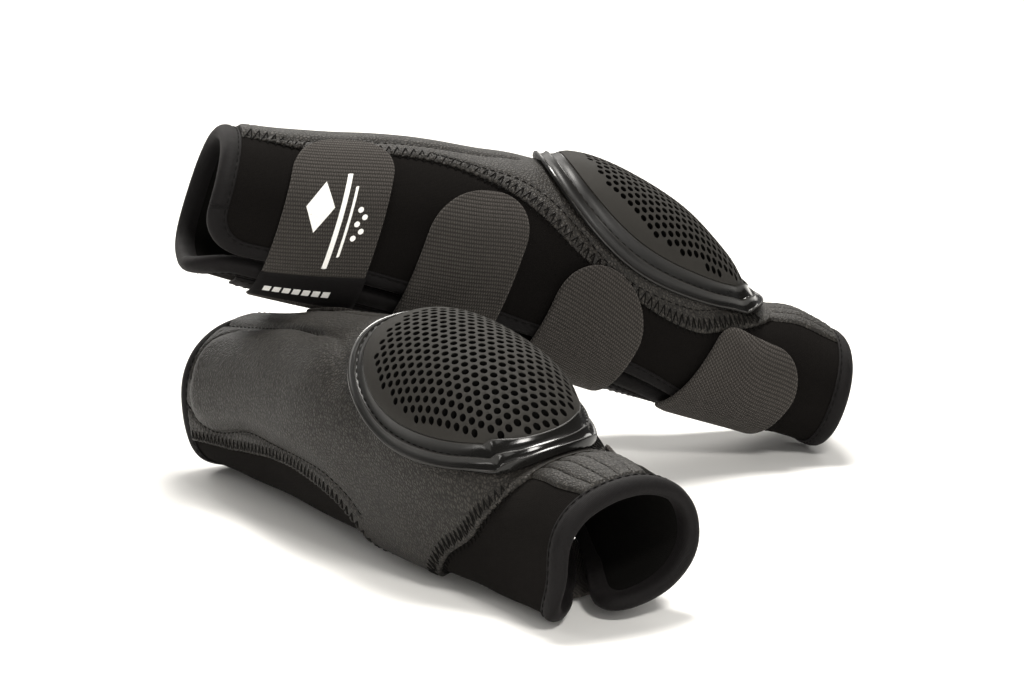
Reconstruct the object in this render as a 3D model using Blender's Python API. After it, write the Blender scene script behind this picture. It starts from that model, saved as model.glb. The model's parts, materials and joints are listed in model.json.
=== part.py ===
"""A mirror-image pair of horse tendon boots: neoprene wraps with a leather back, a moulded
fetlock dome and four straps each. The right boot leans on the left one.

Each boot is drawn in its own frame, in millimetres: x runs from the cannon end (0) to the
pastern end, z is up from the bottom line to the back of the boot, and the section angle a is
0 at the back, positive toward the side the straps start from and negative toward the side
they fasten on. d is the distance out from the neoprene's outer face.
"""

import math

import bmesh
import bpy
import numpy as np
from mathutils import Matrix, Vector

# Boot body, (x, value) stations
LENGTH = 320.0
BACK = ((0, 66.5), (40, 73.5), (85, 83.5), (120, 88), (145, 92.5), (171, 92), (195, 87.5),
        (224, 79), (249, 66.5), (268, 55.5), (292, 58), (320, 52))
HALF_WIDTH = ((0, 34), (80, 36.5), (145, 42.5), (190, 43), (225, 41), (262, 35), (320, 35.5))
HEEL = ((0, 3.5), (160, 8), (320, 11))
HEEL_ANGLE, HEEL_SPREAD = 128.0, 26.0
POWER = 2.21
NEOPRENE = 6.0
GAP = 0.5

# Closing edge on the fastening side and the opening beside it
CLOSING = ((0, -124), (26, -121), (87, -121), (153, -126), (215, -133), (250, -150),
           (285, -182), (320, -208))
OPENING = ((0, 4), (230, 4), (280, 7), (320, 15))
CORNER_RADIUS = 22.0
BIND_WIDTH, BIND_SKIN, BIND_WEB, BIND_LEAD, SHELL_INSET = 8.5, 0.9, 1.2, 3.0, 3.0

# Leather cover, its two long edges as angles
LEATHER = 1.4
LEATHER_X = (9.4, 275.0)
LEATHER_LOW = ((9, -16), (23, -20), (36, -25), (69, -25), (104, -28), (122, -36), (134, -45),
               (150, -57), (171, -72), (190, -80), (211, -85), (228, -86), (242, -81),
               (256, -64), (266, -46), (275, -28))
LEATHER_HIGH = ((9, 110), (26, 108), (47, 107), (92, 104), (119, 104), (143, 108), (160, 113),
                (172, 122), (184, 142), (200, 150), (220, 146), (232, 126), (240, 112),
                (256, 93), (266, 68), (275, 30))
GUSSET_X = (278.5, 310.0)
GUSSET_LOW = ((278, -24), (289, -24), (302, -20), (310, -15))
GUSSET_HIGH = ((278, 29), (296, 31), (310, 23))
GUSSET_RIBS, GUSSET_THICK = 3, 1.6

# Padded panel under the leather
PAD_X = (13.0, 186.0)
PAD_HIGH = ((12, 88), (35, 96), (67, 93), (94, 94), (125, 95), (149, 98), (186, 106))
PAD_LOW = ((12, 40), (26, 25), (70, 22), (105, 26), (130, 38), (150, 54), (168, 70), (186, 80))
PAD_EDGE, PAD_RISE = 0.7, 2.6

# Fetlock dome
DOME_X, DOME_REACH, DOME_END, DOME_ANGLE = 210.5, 63.0, 268.5, 71.0
CAP_BASE, CAP_RISE, CAP_WALL, CAP_SCALE = 6.6, 6.0, 2.4, 0.8
RIM_PROFILE = ((1.0, 3.3), (1.0, 4.0), (0.985, 4.7), (0.915, 4.8), (0.905, 5.8),
               (0.83, 6.2), (0.815, 3.3))
BAR_RISE = 2.2

# Straps: x where they fold, how far that is past the closing edge, lean, length beyond the
# fold, sewn length before it, width, tip radius
STRAPS = ((55.5, -13.0, 0.0, 82.0, 9.0, 46.0, 20.0), (119.5, -13.0, 3.5, 72.0, 9.0, 45.0, 22.0),
          (184.0, -13.0, 7.0, 59.0, 9.0, 46.0, 23.0), (264.0, 9.0, 14.0, 48.0, 30.0, 46.0, 22.0))
STRAP_OFFSET, STRAP_THICK = 2.5, 1.8
HOOK_THICK = 0.9
HOOK_SPANS = ((27, 71), (26.5, 62), (29.5, 50), (4, 30))
BAND_THICK, BAND_WIDTH = 1.2, 14.0
BAND_X = (24.0, 284.0)

# Where each boot lies: centre of the bottom line, yaw, pitch, roll
PLACES = {
    "left": (True, (-34.6, 59.5, 3.5), -56.8, -0.7, 8.0),
    "right": (False, (-5.9, 195.3, 49.9), 10.9, 18.1, -0.5),
}

# How finely the sheets are divided along the boot and round it
STATIONS = (2, 9.5, 30, 52, 74, 96, 118, 138, 156, 176, 196, 214, 230, 244, 256, 267, 279,
            295, 310.5, 318)
STEP, SHELL_FIXED, LEATHER_FIXED = 14, (-70, 70), (-14, 98)
SHELL_EDGES, LEATHER_EDGES = (7, 11), (6, 7)
HEEL_DENSITY = 1.2
TURN = 24

MATERIALS = {
    "neoprene": ((0.030, 0.030, 0.033), 0.92),
    "leather": ((0.062, 0.056, 0.052), 0.48),
    "foam": ((0.10, 0.10, 0.105), 0.95),
    "dome": ((0.050, 0.051, 0.054), 0.62),
    "rim": ((0.012, 0.012, 0.013), 0.16),
    "binding": ((0.022, 0.022, 0.025), 0.66),
    "webbing": ((0.060, 0.061, 0.066), 0.88),
    "hook": ((0.040, 0.040, 0.043), 0.80),
}


def along(stations, x):
    """Smooth curve through the stations, at x."""
    at = np.array([s[0] for s in stations], float)
    value = np.array([s[1] for s in stations], float)
    slope = np.empty_like(value)
    slope[1:-1] = (value[2:] - value[:-2]) / (at[2:] - at[:-2])
    slope[0] = (value[1] - value[0]) / (at[1] - at[0])
    slope[-1] = (value[-1] - value[-2]) / (at[-1] - at[-2])
    x = np.clip(np.asarray(x, float), at[0], at[-1])
    i = np.clip(np.searchsorted(at, x, side="right") - 1, 0, len(at) - 2)
    span = at[i + 1] - at[i]
    t = (x - at[i]) / span
    return ((2 * t**3 - 3 * t**2 + 1) * value[i] + (t**3 - 2 * t**2 + t) * span * slope[i]
            + (3 * t**2 - 2 * t**3) * value[i + 1] + (t**3 - t**2) * span * slope[i + 1])


def surface(x, a, d):
    """Points of the boot at x, section angle a and offset d."""
    x, a, d = np.broadcast_arrays(*(np.asarray(v, float) for v in (x, a, d)))
    half, middle = along(HALF_WIDTH, x), along(BACK, x) / 2
    wrapped = (a + 180) % 360 - 180
    heel = along(HEEL, x) * np.exp(-(((wrapped - HEEL_ANGLE) / HEEL_SPREAD) ** 2))
    s, c = np.sin(np.radians(a)), np.cos(np.radians(a))
    y = (half + d) * np.sign(s) * np.abs(s) ** (2 / POWER) + 0.75 * heel
    z = middle + (middle + d) * np.sign(c) * np.abs(c) ** (2 / POWER) - 0.62 * heel
    return np.stack([x, y, z], -1)


GIRTH_X = np.linspace(0, LENGTH, 65)
GIRTH_A = np.arange(-270.0, 271.0)
_around = surface(GIRTH_X[:, None], GIRTH_A, 0.0)
_steps = np.linalg.norm(np.diff(_around, axis=1), axis=2)
GIRTH = np.concatenate([np.zeros((65, 1)), np.cumsum(_steps, axis=1)], axis=1)
GIRTH -= GIRTH[:, [270]]


def girth_row(x):
    f = min(max(float(x), 0.0), LENGTH) / 5
    i = min(int(f), 63)
    return GIRTH[i] * (1 - f + i) + GIRTH[i + 1] * (f - i)


def arc(x, a):
    """Distance round the section from the back line to angle a."""
    return float(np.interp(a, GIRTH_A, girth_row(x)))


@np.vectorize
def angle(x, s):
    return np.interp(s, girth_row(x), GIRTH_A)


def flat(x, s, d):
    """Points at x and distance s round the section."""
    x, s = np.broadcast_arrays(np.asarray(x, float), np.asarray(s, float))
    return surface(x, angle(x, s), d)


def rounding(x, radius, inset):
    """How far a rounded corner pulls an edge in, near either end."""
    u = min(x - inset, LENGTH - inset - x)
    return radius - math.sqrt(max(radius**2 - (radius - u) ** 2, 0)) if u < radius else 0.0


def closing_arc(x):
    return arc(x, float(along(CLOSING, x)))


def flap_arc(x):
    return arc(x, float(along(CLOSING, x)) + 360) - float(along(OPENING, x))


def reach(point):
    """How far a point stands from the middle line of the boot."""
    return math.hypot(point[1], point[2] - along(BACK, point[0]) / 2)


def split(points, faces):
    """Cuts each quad along the diagonal that stands further out, so layers don't dip into others."""
    pieces = []
    for face in faces:
        if len(face) != 4:
            pieces.append(face)
            continue
        a, b, c, d = face
        if reach((points[a] + points[c]) / 2) >= reach((points[b] + points[d]) / 2):
            pieces += [[a, b, c], [a, c, d]]
        else:
            pieces += [[a, b, d], [b, c, d]]
    return pieces


def build(name, points, faces, pivot, place, material):
    mirror, position, yaw, pitch, roll = PLACES[place]
    side = np.array([1, -1 if mirror else 1, 1])
    points = np.asarray(points, float).reshape(-1, 3)
    faces = split(points, faces)
    points = points * side
    pivot = np.asarray(pivot, float) * side
    mesh = bpy.data.meshes.new(f"{place}_{name}")
    mesh.from_pydata(((points - pivot) / 1000).tolist(), [], faces)
    edit = bmesh.new()
    edit.from_mesh(mesh)
    bmesh.ops.recalc_face_normals(edit, faces=edit.faces)
    edit.to_mesh(mesh)
    edit.free()
    mesh.polygons.foreach_set("use_smooth", [True] * len(mesh.polygons))
    mesh.materials.append(bpy.data.materials[material])
    obj = bpy.data.objects.new(f"{place}_{name}", mesh)
    bpy.context.scene.collection.objects.link(obj)
    turn = (Matrix.Rotation(math.radians(yaw), 4, "Z")
            @ Matrix.Rotation(math.radians(pitch), 4, "Y")
            @ Matrix.Rotation(math.radians(roll), 4, "X"))
    centre = Matrix.Translation(Vector(position) / 1000)
    start = Matrix.Translation(Vector((pivot - (LENGTH / 2, 0, 0)) / 1000))
    obj.matrix_world = centre @ turn @ start
    return obj


def sheet_faces(rows, columns):
    """Faces of a sheet with an outer and an inner grid, closed round its edge."""
    def at(layer, i, j):
        return (layer * rows + i) * columns + j

    faces = []
    for i in range(rows - 1):
        for j in range(columns - 1):
            for layer in (0, 1):
                quad = [at(layer, i, j), at(layer, i, j + 1), at(layer, i + 1, j + 1),
                        at(layer, i + 1, j)]
                faces.append(quad if layer else quad[::-1])
    edge = ([(i, 0) for i in range(rows)] + [(rows - 1, j) for j in range(1, columns)]
            + [(i, columns - 1) for i in range(rows - 2, -1, -1)]
            + [(0, j) for j in range(columns - 2, 0, -1)])
    for (i, j), (k, m) in zip(edge, edge[1:] + edge[:1]):
        faces.append([at(0, i, j), at(0, k, m), at(1, k, m), at(1, i, j)])
    return faces


def sheet(name, x, s, low, high, place, material, pivot=(0, 0, 0)):
    """A sheet over grids of x and s, from offset low to offset high."""
    points = np.stack([flat(x, s, low), flat(x, s, high)])
    return build(name, points, sheet_faces(*np.shape(x)), pivot, place, material)


def tube_faces(stations, corners, ring):
    faces = []
    for i in range(stations if ring else stations - 1):
        for j in range(corners):
            k, m = (i + 1) % stations, (j + 1) % corners
            faces.append([i * corners + j, i * corners + m, k * corners + m, k * corners + j])
    if not ring:
        faces += [list(range(corners)), list(range((stations - 1) * corners, stations * corners))]
    return faces


def binding(name, path, inward, place, plain=True):
    """A folded strip along an edge: path in (x, s), the sheet lying on the inward side."""
    path = np.asarray(path, float)
    run = np.gradient(path, axis=0)
    run /= np.linalg.norm(run, axis=1)[:, None]
    into = np.stack([-run[:, 1], run[:, 0]], 1) * inward
    outer, inner, middle = GAP, -NEOPRENE - 2.8 * GAP, BIND_WIDTH / 2
    profile = ((0, inner - BIND_SKIN), (0, outer + BIND_SKIN), (middle, outer + BIND_SKIN),
               (BIND_WIDTH, outer + BIND_SKIN), (BIND_WIDTH, outer), (middle, outer),
               (BIND_WEB, outer), (BIND_WEB, inner), (middle, inner), (BIND_WIDTH, inner),
               (BIND_WIDTH, inner - BIND_SKIN), (middle, inner - BIND_SKIN))
    if plain:
        profile = [corner for corner in profile if corner[0] != middle]
    points = [flat(*(path[i] + into[i] * t), d) for i in range(len(path)) for t, d in profile]
    build(name, points, tube_faces(len(path), len(profile), False), (0, 0, 0), place, "binding")


def between(first, last, count):
    return np.linspace(first, last, count)


def columns(x, low, high, fixed, edges):
    """Distances round the section at x: fixed angles in the middle, the rest follow the edges."""
    middle = [arc(x, a) for a in range(fixed[0], fixed[1] + 1, STEP)]
    s = np.linspace(middle[-1], high, 60)
    off = ((angle(x, s) + 180) % 360 - 180 - HEEL_ANGLE) / HEEL_SPREAD
    weight = 1 + HEEL_DENSITY * np.exp(-(off**2))
    share = np.concatenate([[0], np.cumsum((weight[1:] + weight[:-1]) / 2)])
    rest = np.interp(np.linspace(0, share[-1], edges[1] + 1), share, s)
    return np.concatenate([between(low, middle[0], edges[0] + 1), middle[1:], rest[1:]])


def slant(edge, x):
    """How much longer a step round the section is than one square to the edge."""
    low, high = max(x - 4, 0), min(x + 4, LENGTH)
    return math.hypot(1, (edge(high) - edge(low)) / (high - low))


def shell_edge(x, inset):
    """Both long edges of the neoprene sheet at x, pulled in by inset."""
    pull = rounding(x, CORNER_RADIUS - inset, inset)
    return (closing_arc(x) + pull + inset * slant(closing_arc, x),
            flap_arc(x) - pull - inset * slant(flap_arc, x))


def neoprene(place):
    s = np.array([columns(v, *shell_edge(v, SHELL_INSET), SHELL_FIXED, SHELL_EDGES)
                  for v in STATIONS])
    x = np.repeat(np.array(STATIONS, float)[:, None], s.shape[1], 1)
    sheet("neoprene_shell", x, s, -NEOPRENE, 0.0, place, "neoprene")


def bindings(place):
    """End bindings follow the shell's columns; the long ones take in the rounded corners."""
    for name, end, inward in (("cannon_binding", 0.0, -1), ("pastern_binding", LENGTH, 1)):
        low = closing_arc(end) + CORNER_RADIUS + BIND_LEAD + GAP
        high = flap_arc(end) - CORNER_RADIUS - BIND_LEAD - 2 * GAP
        path = [(end, s) for s in columns(end, low, high, SHELL_FIXED, SHELL_EDGES)]
        binding(name, path, inward, place)
    turn = [(CORNER_RADIUS * (1 - math.cos(t)), CORNER_RADIUS * (1 - math.sin(t)))
            for t in np.radians((0, 22, 45, 68, 90))]
    middle = [x for x in STATIONS if CORNER_RADIUS + 4 < x < LENGTH - CORNER_RADIUS - 4]
    for name, edge, sign in (("closing_edge_binding", closing_arc, 1),
                             ("flap_edge_binding", flap_arc, -1)):
        path = [(0, edge(0) + sign * (CORNER_RADIUS + BIND_LEAD))]
        path += [(u, edge(u) + sign * v) for u, v in turn]
        path += [(x, edge(x)) for x in middle]
        path += [(LENGTH - u, edge(LENGTH - u) + sign * v) for u, v in reversed(turn)]
        path += [(LENGTH, edge(LENGTH) + sign * (CORNER_RADIUS + BIND_LEAD))]
        binding(name, path, sign, place, plain=sign > 0)


def pad_rise(x, a):
    """Height of the padded panel over the neoprene, 0 outside it."""
    low, high = along(PAD_LOW, x), along(PAD_HIGH, x)
    across = np.clip(np.minimum(a - low, high - a) / 9.0, 0, 1)
    ends = np.clip(np.minimum(x - PAD_X[0], PAD_X[1] - x) / 9.0, 0, 1)
    swell = across * ends
    return swell * swell * (3 - 2 * swell)


def leather(place):
    inner = [x for x in STATIONS if LEATHER_X[0] + 4 < x < LEATHER_X[1] - 4]
    x = np.array([LEATHER_X[0], *inner, LEATHER_X[1]])
    edges = [(arc(v, along(LEATHER_LOW, v)), arc(v, along(LEATHER_HIGH, v))) for v in x]
    s = np.array([columns(v, *edge, LEATHER_FIXED, LEATHER_EDGES) for v, edge in zip(x, edges)])
    x = np.repeat(x[:, None], s.shape[1], 1)
    a = angle(x, s)
    heel = np.exp(-(((a - HEEL_ANGLE) / HEEL_SPREAD) ** 2))
    low = 0.2 + GAP + 1.1 * heel + (PAD_EDGE + PAD_RISE + 1.1) * covered(x, a)
    points = np.stack([surface(x, a, low), surface(x, a, low + LEATHER)])
    build("leather_cover", points, sheet_faces(*x.shape), (0, 0, 0), place, "leather")


def covered(x, a):
    """1 over the padded panel, falling to 0 a little way outside it."""
    low, high = along(PAD_LOW, x), along(PAD_HIGH, x)
    across = np.clip(1 + np.minimum(a - low, high - a) / 8.0, 0, 1)
    ends = np.clip(1 + np.minimum(x - PAD_X[0], PAD_X[1] - x) / 12.0, 0, 1)
    return across * ends


def pad(place):
    x = np.array([PAD_X[0], *(v for v in STATIONS if PAD_X[0] + 4 < v < PAD_X[1] - 4),
                  PAD_X[1]])
    a = np.array([between(along(PAD_LOW, v), along(PAD_HIGH, v), 8) for v in x])
    x = np.repeat(x[:, None], 8, 1)
    low = GAP + 0.2
    points = np.stack([surface(x, a, low), surface(x, a, low + PAD_EDGE + PAD_RISE * pad_rise(x, a))])
    build("tendon_pad", points, sheet_faces(*x.shape), (0, 0, 0), place, "foam")


def gusset(place):
    """Stretch panel at the pastern end, with ribs that run along the boot."""
    count = 4 * GUSSET_RIBS + 1
    rise = 0.5 - 0.5 * np.cos(np.arange(count) * math.pi / 2)
    x = between(*GUSSET_X, 6)
    a = np.array([between(along(GUSSET_LOW, v), along(GUSSET_HIGH, v), count) for v in x])
    x = np.repeat(x[:, None], count, 1)
    low = 0.2 + GAP
    points = np.stack([surface(x, a, low), surface(x, a, low + GUSSET_THICK * (0.6 + rise * 0.8))])
    build("stretch_gusset", points, sheet_faces(*x.shape), (0, 0, 0), place, "leather")


def outline(scale):
    """The dome's edge scaled about its centre: an oval cut off flat at the pastern side."""
    flat_half = math.acos((DOME_END - DOME_X) / DOME_REACH)
    sweep = between(flat_half, 2 * math.pi - flat_half, TURN - 2)
    x = DOME_X + DOME_REACH * np.cos(sweep)
    a = DOME_ANGLE * np.sin(sweep)
    x = np.append(x, (DOME_END, DOME_END))
    a = np.append(a, (a[-1] / 3, a[0] / 3))
    return DOME_X + (x - DOME_X) * scale, a * scale


def inside(x, a):
    """1 at the middle of the cap, falling to 0 round its edge."""
    share = ((x - DOME_X) / DOME_REACH) ** 2 + (a / DOME_ANGLE) ** 2
    return np.clip(1 - share / CAP_SCALE**2, 0, 1)


def crown(x, a):
    return CAP_BASE + CAP_RISE * np.sqrt(inside(x, a))


def disc(name, scales, low, high, place, material):
    """A closed body over the dome's area; low and high give its offsets at (x, a)."""
    x, a = np.array([DOME_X]), np.array([0.0])
    for scale in scales:
        ring = outline(scale)
        x, a = np.append(x, ring[0]), np.append(a, ring[1])
    count, faces = len(x), []
    for layer in (0, count):
        for k in range(TURN):
            n = (k + 1) % TURN
            faces.append([layer, layer + 1 + k, layer + 1 + n])
            for r in range(len(scales) - 1):
                i, j = layer + 1 + r * TURN, layer + 1 + (r + 1) * TURN
                faces.append([i + k, j + k, j + n, i + n])
    last = 1 + (len(scales) - 1) * TURN
    for k in range(TURN):
        n = (k + 1) % TURN
        faces.append([last + k, last + n, count + last + n, count + last + k])
    points = np.concatenate([surface(x, a, low(x, a)), surface(x, a, high(x, a))])
    build(name, points, faces, (0, 0, 0), place, material)


def dome(place):
    base = 2.1 + 2 * GAP

    def cap_low(x, a):
        under = crown(x, a) - CAP_WALL
        under[-TURN:] = base
        return under

    disc("dome_cap", (0.3, 0.52, 0.7, 0.77, CAP_SCALE), cap_low, crown, place, "dome")
    disc("dome_foam", (0.3, 0.52, 0.7), lambda x, a: base + 0 * x,
         lambda x, a: crown(x, a) - CAP_WALL - GAP, place, "foam")
    rings = []
    for scale, d in RIM_PROFILE:
        x, a = outline(scale)
        bar = (x - DOME_X > (DOME_END - DOME_X) * 0.8) & (d > 3.5)
        rings.append(surface(x, a, d + BAR_RISE * bar))
    points = np.stack(rings, 1)
    build("dome_rim", points, tube_faces(TURN, len(RIM_PROFILE), True), (0, 0, 0), place, "rim")


def strap_frame(number):
    """Hinge point of a strap in (x, s), and its two directions there."""
    centre, past, lean = STRAPS[number][:3]
    lean = math.radians(lean)
    start = np.array([centre, closing_arc(centre) + past])
    return start, np.array([math.sin(lean), math.cos(lean)]), np.array([math.cos(lean), -math.sin(lean)])


def ribbon(number, v, half, count=5):
    """Grids of x and s for rows v along a strap, each as wide as half either way."""
    start, run, across = strap_frame(number)
    t = np.linspace(-1, 1, count) * np.asarray(half, float)[:, None]
    v = np.repeat(np.asarray(v, float)[:, None], count, 1)
    return start[0] + v * run[0] + t * across[0], start[1] + v * run[1] + t * across[1]


def half_width(number, v):
    _, _, _, length, _, width, tip = STRAPS[number]
    u = np.clip((np.asarray(v, float) - (length - tip)) / tip, 0, 0.985)
    return width / 2 - tip + tip * np.sqrt(1 - u**2)


def hinge_point(number):
    start, _, _ = strap_frame(number)
    return flat(start[0], start[1], STRAP_OFFSET + STRAP_THICK + 0.2).reshape(3)


def straps(place):
    top = STRAP_OFFSET + STRAP_THICK
    for number, (_, _, _, length, root, width, tip) in enumerate(STRAPS):
        pivot = hinge_point(number)
        v = np.append(between(0, length - tip, round((length - tip) / 6.5) + 1),
                      length - tip * np.array([0.62, 0.3, 0.08, 0.0]))
        x, s = ribbon(number, v, half_width(number, v))
        sheet(f"strap_{number + 1}", x, s, STRAP_OFFSET, top, place, "webbing", pivot)
        v = between(*HOOK_SPANS[number], 6)
        x, s = ribbon(number, v, 0 * v + width / 2 - 6, 4)
        sheet(f"hook_patch_{number + 1}", x, s, GAP + 0.2, GAP + 0.2 + HOOK_THICK, place, "hook", pivot)
        v = between(-root, -0.5, 3 if root < 20 else 6)
        x, s = ribbon(number, v, 0 * v + width / 2)
        sheet(f"strap_root_{number + 1}", x, s, STRAP_OFFSET, top, place, "webbing")


def anchor_band(place):
    """Band sewn along the flap, under the straps' ends."""
    x = np.array([BAND_X[0], *(v for v in STATIONS if BAND_X[0] + 4 < v < BAND_X[1] - 4),
                  BAND_X[1]])
    edge = np.array([flap_arc(v) - (BIND_WIDTH + 1) * slant(flap_arc, v) for v in x])
    s = np.stack([edge - BAND_WIDTH * t for t in (0, 0.5, 1)], 1)
    sheet("strap_anchor_band", np.repeat(x[:, None], 3, 1), s, GAP, GAP + BAND_THICK, place,
          "webbing")


def clear_scene():
    for obj in list(bpy.data.objects):
        bpy.data.objects.remove(obj, do_unlink=True)
    for name, (colour, roughness) in MATERIALS.items():
        material = bpy.data.materials.new(name)
        material.use_nodes = True
        shader = material.node_tree.nodes["Principled BSDF"]
        shader.inputs["Base Color"].default_value = (*colour, 1)
        shader.inputs["Roughness"].default_value = roughness
        shader.inputs["Metallic"].default_value = 0.0


def set_down():
    """Puts the pair's lowest point on z = 0 and its box centre over the origin."""
    bpy.context.view_layer.update()
    corners = np.array([obj.matrix_world @ vertex.co for obj in bpy.data.objects
                        for vertex in obj.data.vertices])
    low, high = corners.min(0), corners.max(0)
    shift = Matrix.Translation(Vector((-(low[0] + high[0]) / 2, -(low[1] + high[1]) / 2, -low[2])))
    for obj in bpy.data.objects:
        obj.matrix_world = shift @ obj.matrix_world


clear_scene()
for boot in PLACES:
    neoprene(boot)
    bindings(boot)
    leather(boot)
    pad(boot)
    gusset(boot)
    dome(boot)
    anchor_band(boot)
    straps(boot)
set_down()
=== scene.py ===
"""Looks of a mirror-image pair of horse tendon boots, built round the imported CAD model.

Each boot is drawn in its own frame, in millimetres: x runs from the cannon end (0) to the
pastern end, a is the section angle from the back line, positive toward the side the straps
start from, s is the distance round the section from the back line, and d is the distance out
from the neoprene's outer face.
"""

import json
import math

import bmesh
import bpy
import numpy as np
from mathutils import Matrix, Vector
from mathutils.geometry import delaunay_2d_cdt


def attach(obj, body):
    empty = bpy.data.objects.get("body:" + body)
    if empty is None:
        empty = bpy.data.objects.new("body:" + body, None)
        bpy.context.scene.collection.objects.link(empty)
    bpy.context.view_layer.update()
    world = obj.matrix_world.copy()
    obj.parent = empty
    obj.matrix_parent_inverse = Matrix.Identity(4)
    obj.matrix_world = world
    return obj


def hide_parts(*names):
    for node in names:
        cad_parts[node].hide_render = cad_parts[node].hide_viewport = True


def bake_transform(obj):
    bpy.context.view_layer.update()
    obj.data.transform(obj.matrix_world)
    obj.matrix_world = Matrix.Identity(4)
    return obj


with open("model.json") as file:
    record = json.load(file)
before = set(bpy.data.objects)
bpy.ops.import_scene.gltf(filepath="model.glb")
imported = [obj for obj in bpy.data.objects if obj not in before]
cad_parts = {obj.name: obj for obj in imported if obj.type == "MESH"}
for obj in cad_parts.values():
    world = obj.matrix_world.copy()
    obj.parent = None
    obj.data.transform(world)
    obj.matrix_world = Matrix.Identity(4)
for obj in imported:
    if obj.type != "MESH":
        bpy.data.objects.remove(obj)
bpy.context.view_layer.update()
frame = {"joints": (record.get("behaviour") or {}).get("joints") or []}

# Boot body, (x, value) stations, as in the CAD
LENGTH = 320.0
BACK = ((0, 66.5), (40, 73.5), (85, 83.5), (120, 88), (145, 92.5), (171, 92), (195, 87.5),
        (224, 79), (249, 66.5), (268, 55.5), (292, 58), (320, 52))
HALF_WIDTH = ((0, 34), (80, 36.5), (145, 42.5), (190, 43), (225, 41), (262, 35), (320, 35.5))
HEEL = ((0, 3.5), (160, 8), (320, 11))
HEEL_ANGLE, HEEL_SPREAD, HEEL_OUT, HEEL_DOWN = 128.0, 26.0, 0.75, 0.62
POWER = 2.21
NEOPRENE = 6.0
CLOSING = ((0, -124), (26, -121), (87, -121), (153, -126), (215, -133), (250, -150),
           (285, -182), (320, -208))
OPENING = ((0, 4), (230, 4), (280, 7), (320, 15))
CORNER_RADIUS = 22.0

# Leather cover and gusset, their long edges as angles
LEATHER, LEATHER_LIFT, SHEET_LOW = 1.4, 0.5, 0.35
LEATHER_X = (9.0, 277.5)
LEATHER_LOW = ((9, -15), (23, -20), (36, -25), (69, -25), (104, -28), (122, -36), (134, -45),
               (150, -57), (171, -72), (190, -80), (211, -85), (228, -86), (242, -81),
               (256, -64), (266, -46), (277, -27))
LEATHER_HIGH = ((9, 110), (26, 108), (47, 107), (92, 104), (119, 104), (143, 108), (160, 113),
                (172, 122), (184, 142), (200, 150), (220, 146), (232, 126), (240, 112),
                (256, 93), (266, 68), (277, 29))
GUSSET_X = (270.0, 312.0)
GUSSET_LOW = ((270, -27), (289, -29), (302, -30), (312, -27))
GUSSET_HIGH = ((270, 27), (296, 31), (312, 23))
GUSSET_RIBS = 5

# Padded panel's outline, top and bottom, as (x, angle)
PAD_TOP = ((12, 66), (12, 52), (14, 38), (19, 27), (31, 20), (50, 19), (70, 19), (95, 20),
           (118, 22), (135, 26), (148, 36), (155, 50))
PAD_BOTTOM = ((12, 66), (12, 78), (14, 88), (20, 96), (35, 98.5), (67, 94), (94, 96), (125, 97),
              (149, 100), (168, 106), (179, 113))
PAD_HEIGHT, PAD_SHOULDER, PAD_FULLNESS = 3.9, 11.0, 0.75

# Dome outlines, the rim's outer edge, its inner edge and the holes' field: centre x, half length,
# angle, and x of the flat end or of the holes' last row. The rim's profile is (share of the way
# from its outer to its inner edge, offset), its lip, whose crests carry a painted highlight, is
# numbered by profile point, and its bar is the pastern side.
RIM_OUTER = (210.5, 63.0, 71.0, 268.5)
RIM_INNER = (211.0, 52.0, 55.0, 258.2)
HOLE_FIELD = (215.5, 45.5, 48.4, 259.6)
RIM_PROFILE = ((0.0, 2.7), (0.0, 3.7), (0.02, 4.2), (0.06, 4.4), (0.10, 4.2), (0.14, 3.7),
               (0.24, 3.55), (0.34, 3.9), (0.42, 4.7), (0.455, 5.3), (0.475, 5.5), (0.51, 5.45),
               (0.53, 5.0), (0.56, 4.75), (0.66, 4.85), (0.78, 5.3), (0.88, 6.0), (0.93, 6.6),
               (0.95, 6.8), (0.985, 6.75), (1.0, 6.3), (1.02, 2.7))
RIM_LIP = (2, 3, 9, 10, 11, 17, 18, 19)
RIM_SEAM = (0.545, 4.85)
RIM_REACH, RIM_FOOT = 55.0, 3.0
BAR_HALF, BAR_RISE, BAR_CORNERS, BAR_BOW = 24, 1.7, 1.3, 5.0
CAP_FOOT, CROWN_BASE, CROWN_RISE = 2.9, 6.2, 6.4
HOLE_STEP, HOLE_PITCH, HOLE_RADIUS, HOLE_DEPTH = 3.7, 4.8, 1.55, 2.6
HOLE_SQUEEZE, HOLE_SIDES = 0.88, 14

# Straps: x where they fold, distance past the closing edge, lean, length beyond the fold,
# sewn length before it, width, tip radius
STRAPS = ((55.5, -13.0, 0.0, 82.0, 9.0, 46.0, 20.0), (119.5, -13.0, 3.5, 72.0, 9.0, 45.0, 22.0),
          (184.0, -13.0, 7.0, 59.0, 9.0, 46.0, 23.0), (264.0, 9.0, 14.0, 48.0, 30.0, 46.0, 22.0))
STRAP_OFFSET, STRAP_THICK, HINGE_OUT = 2.5, 1.8, 0.2
STRAP_TOP = STRAP_OFFSET + STRAP_THICK
FOLD_SPAN, FOLD_OFFSET = (-6.0, 8.0), 3.4
# Hook patches, from and to beyond the fold, the band along the flap, and the first strap's tab
HOOK_SPANS = ((27, 71), (26.5, 62), (29.5, 50), (4, 30))
HOOK_MARGIN, HOOK_TOP, HOOK_LOW = 6.0, 2.35, 0.9
BAND_WIDTH, BAND_X, BAND_SEAM, BAND_TOP, BAND_LOW = 14.0, (24.0, 281.0), 1.8, 1.7, 0.4
TAB, TAB_HALF, TAB_TOP = (-3.0, 15.0), 23.7, 5.0

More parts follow.
